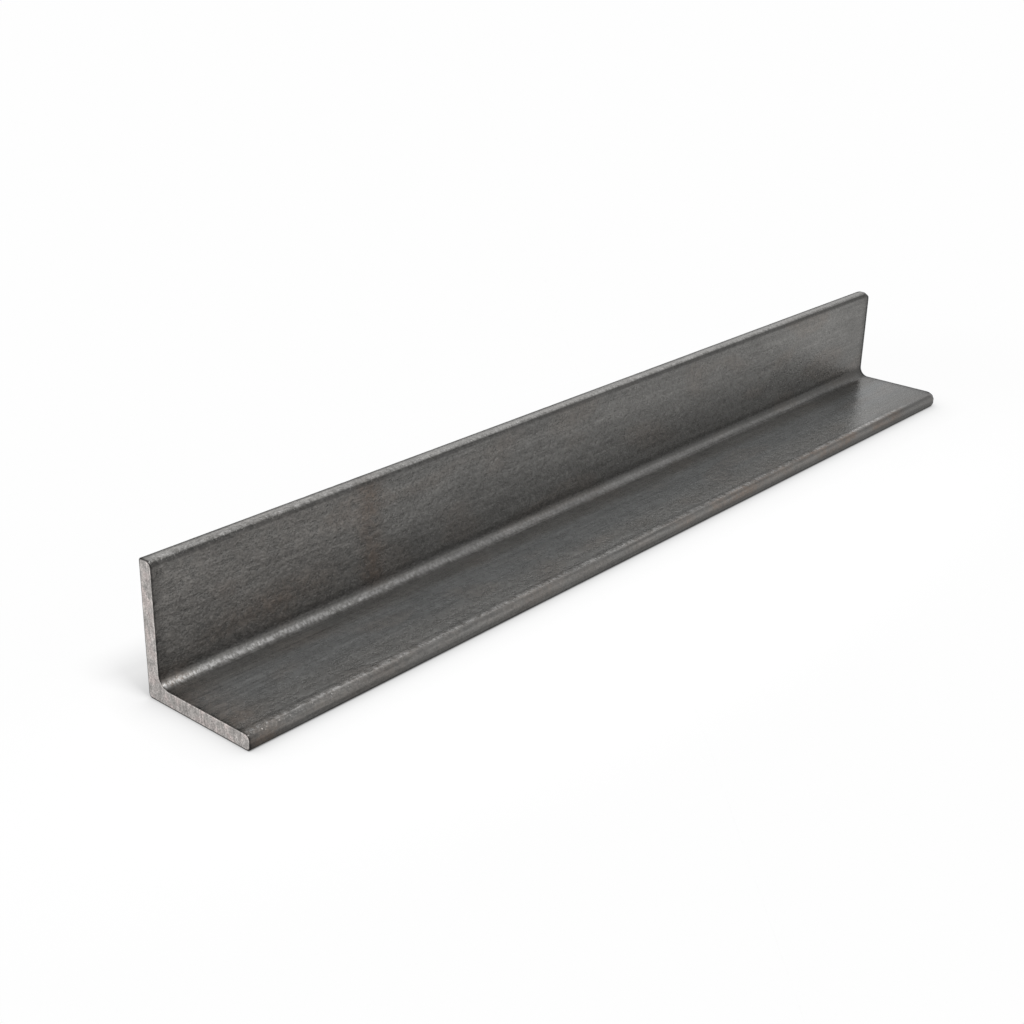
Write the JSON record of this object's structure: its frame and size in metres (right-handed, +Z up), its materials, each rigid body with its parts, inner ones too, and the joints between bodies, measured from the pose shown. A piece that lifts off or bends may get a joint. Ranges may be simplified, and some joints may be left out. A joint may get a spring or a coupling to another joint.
{
  "type": "steel angle section",
  "caption": "Hot-rolled equal-leg steel angle cut to a short length, lying foot down, with a rounded root and toes and sawn ends.",
  "frame": {"origin": "middle of the bar's footprint, on the underside of the foot leg", "axes": "+X along the bar, +Y from the foot's toe to the back of the upright leg, +Z up along the upright leg"},
  "size_m": [0.45, 0.05, 0.05],
  "materials": {
    "mill_scale_steel": "hot-rolled, dark grey mill scale on the rolled faces, bare saw-cut metal on the ends"
  },
  "bodies": {
    "root": {"angle_section": "mill_scale_steel"}
  },
  "joints": []
}
